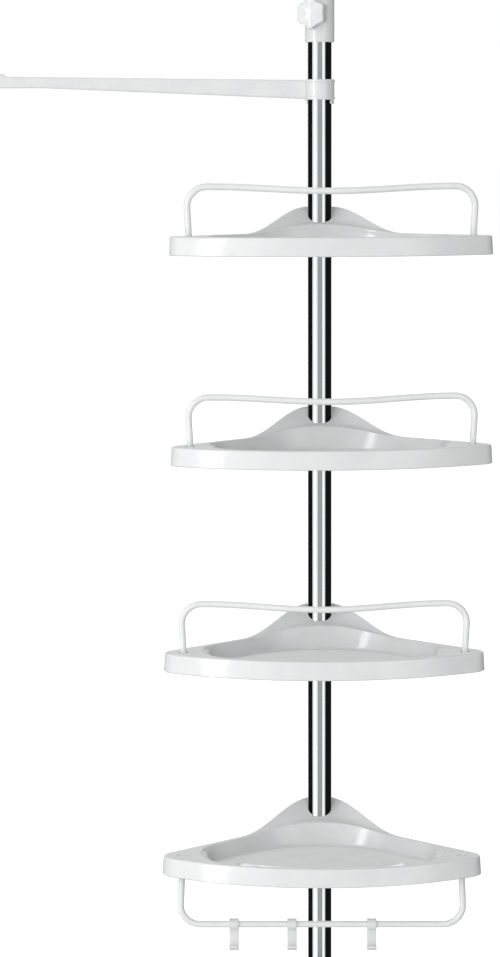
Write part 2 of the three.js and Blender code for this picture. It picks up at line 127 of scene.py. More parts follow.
def new_piece(name, points, faces, sharp=40):
    """A mesh object from points in millimetres and faces: doubles merged, normals outward, smooth
    except where two faces meet at more than `sharp` degrees."""
    mesh = bpy.data.meshes.new(name)
    mesh.from_pydata((np.asarray(points) * MM).tolist(), [], faces)
    cleaner = bmesh.new()
    cleaner.from_mesh(mesh)
    bmesh.ops.remove_doubles(cleaner, verts=cleaner.verts, dist=1e-6)
    bmesh.ops.dissolve_degenerate(cleaner, dist=1e-7, edges=cleaner.edges)
    bmesh.ops.recalc_face_normals(cleaner, faces=cleaner.faces)
    cleaner.to_mesh(mesh)
    cleaner.free()
    piece = bpy.data.objects.new(name, mesh)
    bpy.context.scene.collection.objects.link(piece)
    finish_shading(piece, sharp)
    return piece


def finish_shading(piece, sharp=40):
    """Smooth shading that breaks where two faces meet at more than sharp degrees."""
    piece.data.shade_smooth()
    piece.data.set_sharp_from_angle(angle=np.radians(sharp))


def grid_faces(rows, columns, wrap_rows=False):
    """Quads of a grid whose columns close on themselves, and whose rows may too."""
    row = np.arange(rows if wrap_rows else rows - 1)[:, None]
    column = np.arange(columns)[None, :]
    below = (row + 1) % rows
    right = (column + 1) % columns
    corners = [
        row * columns + column, row * columns + right,
        below * columns + right, below * columns + column,
    ]
    return np.stack(corners, -1).reshape(-1, 4).tolist()


def arc(x, y, radius, start, end, count):
    """count points of a circle about (x, y) from one angle to another, in radians."""
    angle = np.linspace(start, end, count)
    return np.stack([x + radius * np.cos(angle), y + radius * np.sin(angle)], 1)


def line(a, b, count):
    """count points from a to b, with both ends left out."""
    along = np.linspace(0, 1, count + 2)[1:-1, None]
    return np.asarray(a) * (1 - along) + np.asarray(b) * along


def filleted(outline, radius, closed=True, steps=5):
    """An outline with each corner replaced by a curve that leaves both edges at the same distance from
    the corner: P = A(1-t)^2 + 2Ct(1-t) + Bt^2, where C is the corner."""
    points = np.asarray(outline, float)
    count = len(points)
    share = np.linspace(0, 1, steps)[:, None]
    made = []
    for i, corner in enumerate(points):
        before, after = points[i - 1], points[(i + 1) % count]
        if not closed and i in (0, count - 1):
            made.append(corner[None])
            continue
        to_before, to_after = before - corner, after - corner
        reach = min(radius, 0.45 * np.linalg.norm(to_before), 0.45 * np.linalg.norm(to_after))
        a = corner + to_before / np.linalg.norm(to_before) * reach
        b = corner + to_after / np.linalg.norm(to_after) * reach
        made.append(a * (1 - share) ** 2 + 2 * corner * share * (1 - share) + b * share ** 2)
    return np.concatenate(made)


def turned(name, outline, fillet=0.5, sides=96):
    """A surface of revolution about Z: (r cos a, r sin a, z) for each (r, z) of the closed outline."""
    on_axis = outline[0][0] == 0
    profile = filleted(outline, fillet, closed=not on_axis)
    angle = np.linspace(0, TURN, sides, endpoint=False)
    radius, height = profile[:, :1], profile[:, 1:]
    points = np.stack([radius * np.cos(angle), radius * np.sin(angle), height + 0 * angle], -1)
    faces = grid_faces(len(profile), sides, wrap_rows=not on_axis)
    return new_piece(name, points.reshape(-1, 3), faces)


def ring_outline(inner, outer, bottom, top):
    """The outline of a plain ring: the rectangle from inner to outer radius and from bottom to top."""
    return [(inner, bottom), (outer, bottom), (outer, top), (inner, top)]


def swept(name, path, section, side, scale=None):
    """A section carried along a path: P(i, j) = path(i) + scale(i) (u(j) side(i) + v(j) up(i)), where
    side is kept square to the path and up = side x tangent. The ends close to a point."""
    path = np.asarray(path, float)
    tangent = np.gradient(path, axis=0)
    tangent /= np.linalg.norm(tangent, axis=1)[:, None]
    across = np.asarray(side, float) - (tangent @ np.asarray(side, float))[:, None] * tangent
    across /= np.linalg.norm(across, axis=1)[:, None]
    up = np.cross(across, tangent)
    size = np.ones(len(path)) if scale is None else np.asarray(scale)
    offset = section[None, :, :1] * across[:, None] + section[None, :, 1:] * up[:, None]
    grid = path[:, None] + size[:, None, None] * offset
    grid = np.concatenate([path[:1, None] + 0 * grid[:1], grid, path[-1:, None] + 0 * grid[:1]])
    return new_piece(name, grid.reshape(-1, 3), grid_faces(len(grid), len(section)))


def eased_ends(path, radius, steps=5):
    """A path with extra points near its ends, and the section's scale there, for rounded ends: at a
    distance r(1 - cos a) from the end the scale is sin a."""
    path = np.asarray(path, float)
    angle = np.linspace(0.15, np.pi / 2, steps)
    ends = []
    for end, inner in ((path[0], path[1]), (path[-1], path[-2])):
        direction = (inner - end) / np.linalg.norm(inner - end)
        ends.append(end + direction * radius * (1 - np.cos(angle))[:, None])
    rest = np.ones(len(path) - 2)
    full = np.concatenate([ends[0], path[1:-1], ends[1][::-1]])
    return full, np.concatenate([np.sin(angle), rest, np.sin(angle)[::-1]])


def round_section(radius, sides=20):
    """A circle (r cos a, r sin a)."""
    angle = np.linspace(0, TURN, sides, endpoint=False)
    return radius * np.stack([np.cos(angle), np.sin(angle)], 1)


def soft_rectangle(width, height, power=0.28, sides=40):
    """A superellipse: (w/2 |cos a|^p, h/2 |sin a|^p) with the signs of cos a and sin a."""
    angle = np.linspace(0, TURN, sides, endpoint=False)
    c, s = np.cos(angle), np.sin(angle)
    return np.stack([width / 2 * np.sign(c) * abs(c) ** power, height / 2 * np.sign(s) * abs(s) ** power], 1)


def prism(name, outline, bottom, top):
    """A flat outline raised from bottom to top."""
    outline = np.asarray(outline)
    count = len(outline)
    low = np.column_stack([outline, np.full(count, bottom)])
    high = np.column_stack([outline, np.full(count, top)])
    faces = grid_faces(2, count) + [list(range(count))[::-1], list(range(count, 2 * count))]
    return new_piece(name, np.concatenate([low, high]), faces)


def moved(piece, turn=0, place=(0, 0, 0), lay=False):
    """Turns a piece's mesh about X by 90 degrees if it is laid down, then about Z, then places it."""
    points = np.zeros(len(piece.data.vertices) * 3)
    piece.data.vertices.foreach_get("co", points)
    points = points.reshape(-1, 3)
    if lay:
        points = points[:, [0, 2, 1]] * [1, -1, 1]
    c, s = np.cos(np.radians(turn)), np.sin(np.radians(turn))
    points = points @ np.array([[c, s, 0], [-s, c, 0], [0, 0, 1]]) + np.asarray(place) * MM
    piece.data.vertices.foreach_set("co", points.ravel())
    piece.data.update()
    return piece


def combined(piece, others, operation):
    """Cuts the others out of a piece, or joins them to it, and removes them."""
    for other in others:
        change = piece.modifiers.new(operation.lower(), "BOOLEAN")
        change.operation, change.solver, change.object = operation, "EXACT", other
    graph = bpy.context.evaluated_depsgraph_get()
    mesh = bpy.data.meshes.new_from_object(piece.evaluated_get(graph))
    piece.modifiers.clear()
    piece.data = mesh
    for other in others:
        bpy.data.objects.remove(other)
    finish_shading(piece)
    return piece


# ---------------------------------------------------------------- materials

def linear(hex_colour):
    """An sRGB hex colour as linear RGBA."""
    channels = np.array([int(hex_colour[i:i + 2], 16) for i in (1, 3, 5)]) / 255
    low = channels / 12.92
    high = ((channels + 0.055) / 1.055) ** 2.4
    return (*np.where(channels <= 0.04045, low, high).tolist(), 1.0)


def add_node(tree, kind, settings=None, links=None):
    """Adds a node. settings are its sockets' or its own values by name, or colour stops for a ramp as
    (place, hex) pairs; links are its inputs' sources by name or number."""
    node = tree.nodes.new(kind)
    for key, value in (settings or {}).items():
        if key == "stops":
            for stop, (position, colour) in zip(node.color_ramp.elements, value):
                stop.position, stop.color = position, linear(colour)
        elif key in node.inputs:
            node.inputs[key].default_value = value
        else:
            setattr(node, key, value)
    for key, source in (links or {}).items():
        tree.links.new(source, node.inputs[key])
    return node


def new_material(name):
    """An empty node material, with the Object coordinates that its patterns use."""
    material = bpy.data.materials.new(name)
    material.use_nodes = True
    material.node_tree.nodes.clear()
    place = add_node(material.node_tree, "ShaderNodeTexCoord").outputs["Object"]
    return material, material.node_tree, place


def per_mm(grain):
    """The Scale of a pattern whose lumps are this many millimetres across."""
    return 1 / (grain * MM)


def moulded_abs():
    """ABS, injection moulded and white: a glossy skin with the faint orange peel of a polished mould, so
    that reflections waver a little, and a very slight flow mottle in its colour and gloss."""
    material, tree, place = new_material("moulded_white_abs")
    mottle = add_node(tree, "ShaderNodeTexNoise", {"Scale": per_mm(24), "Detail": 3.0}, {"Vector": place})
    peel = add_node(tree, "ShaderNodeTexNoise", {"Scale": per_mm(5), "Detail": 1.0}, {"Vector": place})
    colour = add_node(tree, "ShaderNodeValToRGB", {
        "stops": [(0.3, "#e6e7e8"), (0.7, "#ebecec")],
    }, {"Fac": mottle.outputs["Fac"]})
    gloss = add_node(tree, "ShaderNodeMapRange", {
        "From Min": 0.25, "From Max": 0.75, "To Min": 0.13, "To Max": 0.19,
    }, {"Value": mottle.outputs["Fac"]})
    relief = add_node(tree, "ShaderNodeBump", {"Distance": 0.02 * MM, "Strength": 0.5}, {
        "Height": peel.outputs["Fac"],
    })
    surface = add_node(tree, "ShaderNodeBsdfPrincipled", {"IOR": 1.53}, {
        "Base Color": colour.outputs["Color"],
        "Roughness": gloss.outputs["Result"],
        "Normal": relief.outputs["Normal"],
    })
    add_node(tree, "ShaderNodeOutputMaterial", None, {"Surface": surface.outputs["BSDF"]})
    return material


def dipped_wire():
    """Steel wire dipped in white polyethylene: a thick soft coat, waxier than the trays, with slow waves
    where it ran and a fine grain."""
    material, tree, place = new_material("polyethylene_dipped_wire")
    runs = add_node(tree, "ShaderNodeTexNoise", {"Scale": per_mm(14), "Detail": 2.0}, {"Vector": place})
    grain = add_node(tree, "ShaderNodeTexNoise", {"Scale": per_mm(1.2), "Detail": 1.0}, {"Vector": place})
    colour = add_node(tree, "ShaderNodeValToRGB", {
        "stops": [(0.3, "#eceded"), (0.7, "#f1f2f2")],
    }, {"Fac": runs.outputs["Fac"]})
    gloss = add_node(tree, "ShaderNodeMapRange", {
        "From Min": 0.25, "From Max": 0.75, "To Min": 0.26, "To Max": 0.36,
    }, {"Value": grain.outputs["Fac"]})
    relief = add_node(tree, "ShaderNodeBump", {"Distance": 0.03 * MM, "Strength": 0.5}, {
        "Height": runs.outputs["Fac"],
    })
    surface = add_node(tree, "ShaderNodeBsdfPrincipled", {"IOR": 1.51}, {
        "Base Color": colour.outputs["Color"],
        "Roughness": gloss.outputs["Result"],
        "Normal": relief.outputs["Normal"],
    })
    add_node(tree, "ShaderNodeOutputMaterial", None, {"Surface": surface.outputs["BSDF"]})
    return material


def polished_stainless():
    """Stainless steel tube, belt polished to a mirror: hardly any blur, with hairlines drawn along the
    tube. They are 0.4 mm apart, coarser than the real ones, so that they show."""
    material, tree, place = new_material("polished_stainless_tube")
    stretched = add_node(tree, "ShaderNodeMapping", {"Scale": (1, 1, 0.01)}, {"Vector": place})
    hairline = add_node(tree, "ShaderNodeTexNoise", {"Scale": per_mm(0.4), "Detail": 1.0}, {
        "Vector": stretched.outputs["Vector"],
    })
    smear = add_node(tree, "ShaderNodeTexNoise", {"Scale": per_mm(40), "Detail": 2.0}, {"Vector": place})
    colour = add_node(tree, "ShaderNodeValToRGB", {
        "stops": [(0.3, "#e2e3e4"), (0.7, "#e8e9ea")],
    }, {"Fac": smear.outputs["Fac"]})
    polish = add_node(tree, "ShaderNodeMapRange", {
        "From Min": 0.25, "From Max": 0.75, "To Min": 0.04, "To Max": 0.08,
    }, {"Value": hairline.outputs["Fac"]})
    surface = add_node(tree, "ShaderNodeBsdfPrincipled", {"Metallic": 1.0}, {
        "Base Color": colour.outputs["Color"], "Roughness": polish.outputs["Result"],
    })
    add_node(tree, "ShaderNodeOutputMaterial", None, {"Surface": surface.outputs["BSDF"]})
    return material


def zinc_plate():
    """Zinc-plated steel: a soft grey shine with the cloudy spangle of thin plating."""
    material, tree, place = new_material("zinc_plated_steel")
    cloud = add_node(tree, "ShaderNodeTexNoise", {"Scale": per_mm(3), "Detail": 3.0}, {"Vector": place})
    colour = add_node(tree, "ShaderNodeValToRGB", {
        "stops": [(0.3, "#a9acaf"), (0.7, "#c2c5c8")],
    }, {"Fac": cloud.outputs["Fac"]})
    shine = add_node(tree, "ShaderNodeMapRange", {
        "From Min": 0.25, "From Max": 0.75, "To Min": 0.28, "To Max": 0.42,
    }, {"Value": cloud.outputs["Fac"]})
    surface = add_node(tree, "ShaderNodeBsdfPrincipled", {"Metallic": 1.0}, {
        "Base Color": colour.outputs["Color"], "Roughness": shine.outputs["Result"],
    })
    add_node(tree, "ShaderNodeOutputMaterial", None, {"Surface": surface.outputs["BSDF"]})
    return material


def moulded_rubber():
    """Grey moulded rubber: matt, with a fine eroded grain and a dusty bloom."""
    material, tree, place = new_material("grey_moulded_rubber")
    bloom = add_node(tree, "ShaderNodeTexNoise", {"Scale": per_mm(12), "Detail": 3.0}, {"Vector": place})
    grain = add_node(tree, "ShaderNodeTexNoise", {"Scale": per_mm(0.8), "Detail": 2.0}, {"Vector": place})
    colour = add_node(tree, "ShaderNodeValToRGB", {
        "stops": [(0.3, "#7d8083"), (0.7, "#929598")],
    }, {"Fac": bloom.outputs["Fac"]})
    matt = add_node(tree, "ShaderNodeMapRange", {
        "From Min": 0.25, "From Max": 0.75, "To Min": 0.65, "To Max": 0.85,
    }, {"Value": grain.outputs["Fac"]})
    relief = add_node(tree, "ShaderNodeBump", {"Distance": 0.08 * MM, "Strength": 0.7}, {
        "Height": grain.outputs["Fac"],
    })
    surface = add_node(tree, "ShaderNodeBsdfPrincipled", {"IOR": 1.52}, {
        "Base Color": colour.outputs["Color"],
        "Roughness": matt.outputs["Result"],
        "Normal": relief.outputs["Normal"],
    })
    add_node(tree, "ShaderNodeOutputMaterial", None, {"Surface": surface.outputs["BSDF"]})
    return material


FINISHES = {
    "white_plastic": moulded_abs(),
    "coated_wire": dipped_wire(),
    "polished_tube": polished_stainless(),
    "plain_steel": zinc_plate(),
    "grey_rubber": moulded_rubber(),
}


def fit(piece, body, slot, *nodes):
    """Gives a piece its finish, makes it move with a body and stand for CAD nodes. Pieces don't show in
    each other's reflections, so that the pole's bands stay clean."""
    piece.visible_glossy = False
    piece.data.materials.clear()
    piece.data.materials.append(FINISHES[slot])
    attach(piece, body)
    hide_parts(*nodes)
    return piece


# ---------------------------------------------------------------- pole

def make_pole():
    """Five tubes one above the other, and the couplers between them: a spigot with a flange at its middle
    that the tubes' ends rest on."""
    bore = POLE_RADIUS - TUBE_WALL
    for i in range(1, 6):
        node = f"pole_section_{i}"
        tube = turned(f"outer_tube_{i}", ring_outline(bore, POLE_RADIUS, *span(node)), 0.35, 128)
        fit(tube, "pole", "polished_tube", node)
    for i in range(1, 5):
        node = f"pole_coupler_{i}"
        bottom, top = span(node)
        middle = (bottom + top) / 2
        coupler = turned(f"tube_coupler_{i}", [
            (SPIGOT_BORE, bottom), (SPIGOT_RADIUS, bottom), (SPIGOT_RADIUS, middle - 1.5),
            (FLANGE_RADIUS, middle - 1.5), (FLANGE_RADIUS, middle + 1.5),
            (SPIGOT_RADIUS, middle + 1.5), (SPIGOT_RADIUS, top), (SPIGOT_BORE, top),
        ], 0.4, 64)
        fit(coupler, "pole", "white_plastic", node)


def make_foot():
    """A moulded cup, a turned outline that flares from the tube's socket to the floor, on a rubber disc."""
    bottom, top = span("floor_foot")
    radius = (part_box("floor_foot")[1].y / MM)
    bore = POLE_RADIUS + 0.3
    socket = 10.7
    foot = turned("floor_foot_cup", [
        (8, bottom), (radius, bottom), (radius, bottom + 4.7), (22, bottom + 9), (17, top - 8),
        (15.8, top), (bore, top), (bore, socket), (8, socket),
    ], 2.5)
    fit(foot, "pole", "white_plastic", "floor_foot")
    low, high = span("floor_pad")
    pad_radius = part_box("floor_pad")[1].y / MM
    pad = turned("floor_pad_rubber", [(0, low), (pad_radius, low), (pad_radius, high), (0, high)], 1)
    fit(pad, "pole", "grey_rubber", "floor_pad")


# ---------------------------------------------------------------- trays

def corner_outline(back_centre, back_radius, end_radius, front_radius, inset, fine=1):
    """An arc at the back, two 45 degree edges, two round ends and a curved front, each arc tangent to
    its neighbours. The ends' centres (x, y) solve x + y = back + sqrt2 (back radius - end radius) and
    |(x, y) - front centre| = front radius - end radius."""
    total = back_centre + np.sqrt(2) * (back_radius - end_radius) - FRONT_CENTRE
    reach = front_radius - end_radius
    x = (total + np.sqrt(2 * reach ** 2 - total ** 2)) / 2
    y = total - x + FRONT_CENTRE
    turn = np.arctan2(y - FRONT_CENTRE, x)
    quarter = np.pi / 4
    right = arc(x, y, end_radius - inset, turn, quarter, 22 * fine)
    back = arc(0, back_centre, back_radius - inset, quarter, 3 * quarter, 30 * fine)
    left = arc(-x, y, end_radius - inset, 3 * quarter, np.pi - turn, 22 * fine)
    front = arc(0, FRONT_CENTRE, front_radius - inset, np.pi - turn, TURN + turn, 66 * fine)[1:-1]
    return np.concatenate([
        right, line(right[-1], back[0], 44 * fine), back, line(back[-1], left[0], 44 * fine), left, front,
    ])


BASIN_BACK_CENTRE = np.sqrt(2) * (TRAY_APEX_RADIUS - RIM_WIDTH - BASIN_REAR_RADIUS)
TRAY_CENTRE = np.array([0, -118.0])
RAIL_FOOT = (142.71, -146.51)


def tray_edge(inset, fine=1):
    """The tray's outer outline, drawn in by inset."""
    return corner_outline(0, TRAY_APEX_RADIUS, TRAY_CORNER_RADIUS, FRONT_RADIUS, inset, fine)


def basin_edge(inset, end_radius=BASIN_END_RADIUS, fine=1):
    """The basin's outline, drawn in by inset. Its front runs a rim's width inside the tray's."""
    return corner_outline(
        BASIN_BACK_CENTRE, BASIN_REAR_RADIUS, end_radius, FRONT_RADIUS - RIM_WIDTH, inset, fine)


def reach_of(outline, angles):
    """Distance from the tray's centre to an outline, in each direction."""
    away = outline - TRAY_CENTRE
    direction = np.arctan2(away[:, 1], away[:, 0])
    return np.interp(angles, *sorted_pair(direction, np.linalg.norm(away, axis=1)), period=TURN)


def sorted_pair(keys, values):
    """Both lists in the order of the keys."""
    order = np.argsort(keys)
    return keys[order], values[order]


def back_edge(x, centre, radius):
    """The y of the back of an outline: its arc, then its 45 degree edges."""
    side = abs(x)
    inside = side < radius / np.sqrt(2)
    curve = centre + np.sqrt(np.maximum(radius ** 2 - side ** 2, 0))
    return np.where(inside, curve, centre + np.sqrt(2) * radius - side)


def hump(x, y):
    """Height of the hump: H cos(pi/2 u)^2 (s + (1 - s)(1 - t)^2), where u runs from 0 at the edge of the
    level top to 1 at the hump's side, t from 0 at the tray's back edge to 1 at the basin, and s is the
    share of the height left there."""
    back = back_edge(x, 0, TRAY_APEX_RADIUS)
    front = back_edge(x, BASIN_BACK_CENTRE, BASIN_REAR_RADIUS)
    along = np.clip((back - y) / (back - front), 0, 1)
    across = np.clip((abs(x) - HUMP_TOP_WIDTH) / (HUMP_HALF_WIDTH - HUMP_TOP_WIDTH), 0, 1)
    bell = np.cos(across * np.pi / 2) ** 2
    behind = np.clip((y + 110) / 30, 0, 1)
    return HUMP_HEIGHT * bell * (HUMP_FRONT_SHARE + (1 - HUMP_FRONT_SHARE) * (1 - along) ** 2) * behind


def tray_rings():
    """The tray as closed rings, from the middle of its underside, round the skirt and rim and down into
    the basin: each ring is a distance from the centre in every direction, a height and the share of
    the hump's height that it carries."""
    base = tray_edge(0)
    away = base - TRAY_CENTRE
    angles = np.arctan2(away[:, 1], away[:, 0])
    edge = lambda inset: reach_of(tray_edge(inset, 6), angles)
    opening = lambda inset: reach_of(basin_edge(inset, fine=6), angles)
    basin = lambda inset: reach_of(basin_edge(inset, BASIN_END_RADIUS + 5, 6), angles)
    floor = -BASIN_DEPTH
    under = -BASIN_DEPTH - BASIN_FLOOR
    quarter = np.linspace(0, np.pi / 2, 6)
    rings = []
    add = lambda distance, height, lift: rings.append((distance, height, lift))
    for share in (0, 0.3, 0.6, 0.85):
        add(share * basin(2), under, 0)
    for a in quarter:
        add(basin(2 - 2.5 * np.sin(a)), under + 2.5 * (1 - np.cos(a)), 0)
    add(opening(-BASIN_FLOOR), -TRAY_WALL - 3, 0.5)
    for share in np.linspace(0, 1, 14):
        inner, outer = opening(-BASIN_FLOOR), edge(TRAY_WALL)
        add(inner + (outer - inner) * share, -TRAY_WALL, 1)
    for height in (-TRAY_WALL - 2, -10, -TRAY_HEIGHT + 0.6):
        add(edge(TRAY_WALL - 0.5), height, 1 if height > -6 else 0)
    add(edge(TRAY_WALL - 1.2), -TRAY_HEIGHT, 0)
    add(edge(0), -TRAY_HEIGHT, 0)
    add(edge(-0.9), -TRAY_HEIGHT + 0.7, 0)
    for share in (0.15, 0.4, 0.7, 0.98):
        add(edge(-0.9 + 1.1 * share), -TRAY_HEIGHT + 0.7 + share * (TRAY_HEIGHT - 2.9), share ** 2)
    for a in quarter[1:]:
        add(edge(0.2 + 2 * (1 - np.cos(a))), -2 + 2 * np.sin(a), 1)
    for share in np.linspace(0, 1, 26)[1:]:
        outer, inner = edge(2.2), opening(-1)
        add(outer + (inner - outer) * share, 0, 1)
    for a in quarter[1:-1]:
        add(opening(-1 + 1.2 * np.sin(a)), -1.2 * (1 - np.cos(a)), 1)
    add(basin(0.3), -2.4, 1)
    add(basin(0.8), -3.2, 1)
    for share in (0.25, 0.5, 0.75, 1):
        add(basin(0.8 + 3 * share), -3.2 + (floor + 4 + 3.2) * share, 1 - share)
    for a in quarter[1:]:
        add(basin(3.8 + 4 * (1 - np.cos(a))), floor + 4 - 4 * np.sin(a), 0)
    for share in (0.85, 0.6, 0.3, 0):
        add(share * basin(7.8), floor, 0)
    return angles, rings


def tray_mesh():
    """A tray about its own centre c: P(i, a) = c + d(i, a) (cos a, sin a), at the height of ring i plus its
    share of the hump there. The pole's hole, the rail's two feet and the drain slots are cut from it."""
    angles, rings = tray_rings()
    grid = []
    for distance, height, lift in rings:
        x = TRAY_CENTRE[0] + distance * np.cos(angles)
        y = TRAY_CENTRE[1] + distance * np.sin(angles)
        grid.append(np.stack([x, y, height + lift * hump(x, y)], 1))
    grid = np.array(grid)
    tray = new_piece("tray_blank", grid.reshape(-1, 3), grid_faces(len(grid), len(angles)))
    cutters = [turned("pole_cut", [(0, -30), (POLE_RADIUS + 0.4, -30), (POLE_RADIUS + 0.4, 40), (0, 40)], 0)]
    for side in (-1, 1):
        place = (side * RAIL_FOOT[0], RAIL_FOOT[1], 0)
        hole = turned("foot_cut", [(0, -30), (WIRE_RADIUS + 0.3, -30), (WIRE_RADIUS + 0.3, -2.2), (5, -2.2),
                                   (5, -0.6), (5.8, 5), (0, 5)], 0, 40)
        cutters.append(moved(hole, place=place))
    cutters += [prism("drain_cut", slot_outline(i), -30, -10) for i in range(SLOT_COUNT)]
    return combined(tray, cutters, "DIFFERENCE")


def slot_outline(index):
    """A drain slot: two arcs about one centre, with round ends."""
    inner = SLOT_START + index * SLOT_PITCH
    half, down = np.radians(SLOT_HALF_ANGLE), -np.pi / 2
    ends = []
    for turn in (down + half, down - half):
        middle = inner + SLOT_WIDTH / 2
        ends.append((middle * np.cos(turn), SLOT_CENTRE + middle * np.sin(turn), turn))
    (right_x, right_y, right), (left_x, left_y, left) = ends
    return np.concatenate([
        arc(0, SLOT_CENTRE, inner + SLOT_WIDTH, left, right, 40),
        arc(right_x, right_y, SLOT_WIDTH / 2, right, right + np.pi, 14)[1:-1],
        arc(0, SLOT_CENTRE, inner, right, left, 40),
        arc(left_x, left_y, SLOT_WIDTH / 2, left + np.pi, left + TURN, 14)[1:-1],
    ])


def rail_path(leg_start, run_height, dip, bow):
    """A staple of wire: straight leg, round bend, run, bend, leg. The run sags by dip and bows forward by
    bow in its middle, both as cos(pi/2 s)^2 for s from -1 to 1."""
    foot_x, foot_y = RAIL_FOOT
    toward = np.sign(run_height - leg_start)
    reach = foot_x + LEG_SPLAY - BEND_RADIUS
    bend = arc(reach, 0, BEND_RADIUS, 0, np.pi / 2, 20)
    height = run_height - toward * (BEND_RADIUS - bend[:, 1])
    bend = np.column_stack([bend[:, 0], np.full(len(bend), foot_y), height])
    leg_low = np.array([foot_x, foot_y, leg_start])
    leg_high = np.array([foot_x, foot_y, leg_start + toward * (TRAY_HEIGHT - 1)])
    half = np.concatenate([line(leg_low, leg_high, 3), line(leg_high, bend[0], 6), bend])
    half = np.concatenate([leg_low[None], half])
    along = np.linspace(1, -1, 62)[1:-1]
    swell = np.cos(along * np.pi / 2) ** 2
    run = np.column_stack([along * reach, foot_y - bow * swell, run_height - dip * swell])
    return np.concatenate([half, run, half[::-1] * [-1, 1, 1]])


def make_rail(name, leg_start, run_height, dip=0, bow=0):
    """Round wire swept along a rail's path, with rounded ends."""
    path, scale = eased_ends(rail_path(leg_start, run_height, dip, bow), WIRE_RADIUS * 0.8)
    return swept(name, path, round_section(WIRE_RADIUS), (0, 1, 0), scale)


def make_hook(name):
    """A strip bent round the wire, down its back and up again at the front: arc, line, arc, in the
    plane x forward, y up, carried across by a rectangle with soft edges."""
    bore = WIRE_RADIUS + 0.35
    middle = bore + HOOK_WALL / 2
    curl = HOOK_CURL - HOOK_WALL / 2
    centre = HOOK_CURL - HOOK_WALL - bore
    clip = arc(0, 0, middle, -np.pi / 3, np.pi, 30)
    bend = arc(centre, -HOOK_STRIP, curl, np.pi, 1.94 * np.pi, 24)
    flat = np.concatenate([clip, line(clip[-1], bend[0], 10), bend])
    path = np.column_stack([0 * flat[:, 0], -flat[:, 0], flat[:, 1]])
    path, scale = eased_ends(path, 1.0)
    return swept(name, path, soft_rectangle(HOOK_WIDTH, HOOK_WALL), (1, 0, 0), scale)


def make_trays():
    """Four copies of one tray, each turned about the pole, with a guard rail on all but the lowest."""
    blank = tray_mesh()
    for i, turn in TRAY_TURN.items():
        body, place = f"tray_{i}_set", (0, 0, RIM[i])
        tray = blank.copy()
        tray.data = blank.data.copy()
        tray.name = f"corner_tray_{i}"
        bpy.context.scene.collection.objects.link(tray)
        fit(moved(tray, turn, place), body, "white_plastic", f"tray_{i}")
        if i == 1:
            continue
        rail = make_rail(f"wire_guard_{i}", -GUARD_DEPTH, GUARD_HEIGHT, GUARD_DIP, GUARD_BOW)
        fit(moved(rail, turn, place), body, "coated_wire", f"guard_rail_{i}")
    bpy.data.objects.remove(blank)
    make_hook_rail()


def make_hook_rail():
    """The lowest tray's rail, which hangs under it, with a turned cap on each leg and the sliding hooks."""
    turn, place = TRAY_TURN[1], (0, 0, RIM[1])
    rail = make_rail("wire_hook_rail", -WIRE_END_DROP, -HOOK_RAIL_DROP)
    fit(moved(rail, turn, place), "tray_1_set", "coated_wire", "hook_rail")
    for side, sign in (("left", -1), ("right", 1)):
        cap = turned(f"rail_end_cap_{side}", [
            (0, -1.9), (4.3, -1.9), (4.3, -0.7), (2.5, -0.3), (0, -0.3),
        ], 0.6, 48)
        moved(cap, place=(sign * RAIL_FOOT[0], RAIL_FOOT[1], 0))
        fit(moved(cap, turn, place), "tray_1_set", "white_plastic", f"rail_cap_{side}")
    for i, x in HOOK_PLACES.items():
        hook = moved(make_hook(f"sliding_hook_{i}"), place=(x, RAIL_FOOT[1], -HOOK_RAIL_DROP))
        fit(moved(hook, turn, place), f"hook_{i}_body", "white_plastic", f"hook_{i}")


# ---------------------------------------------------------------- towel arm

